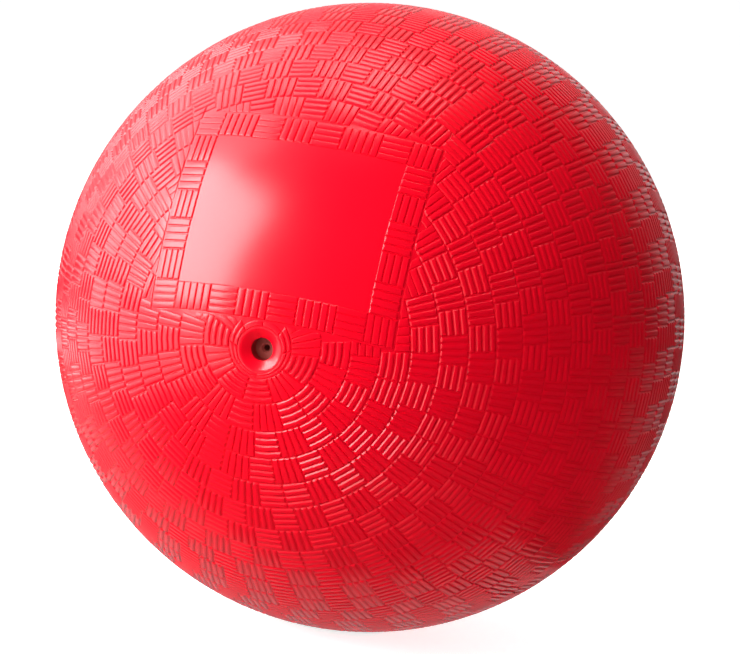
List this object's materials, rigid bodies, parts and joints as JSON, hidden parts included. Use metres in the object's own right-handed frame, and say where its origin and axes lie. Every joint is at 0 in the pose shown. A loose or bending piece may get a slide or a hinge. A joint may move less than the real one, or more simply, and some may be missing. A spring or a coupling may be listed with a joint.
{
  "type": "playground ball",
  "caption": "Inflatable round rubber playground ball with a moulded basket-weave cover, a smooth bare panel, an inner bladder and a self-sealing needle valve.",
  "frame": {"origin": "centre of the ball", "axes": "-Y out through the valve, +Z from the valve towards the smooth panel, +X to the right seen from the valve's side"},
  "size_m": [0.1778, 0.1776, 0.1778],
  "materials": {
    "cover_rubber": "semi-gloss moulded red rubber with a raised basket weave",
    "bladder_rubber": "matt black butyl rubber",
    "valve_rubber": "satin dark red moulded rubber",
    "core_gum": "matt tan gum rubber",
    "patch_rubber": "matt black rubber sheet"
  },
  "bodies": {
    "root": {"outer_cover": "cover_rubber", "bladder": "bladder_rubber", "valve_body": "valve_rubber", "valve_core": "core_gum", "valve_patch": "patch_rubber"}
  },
  "joints": []
}
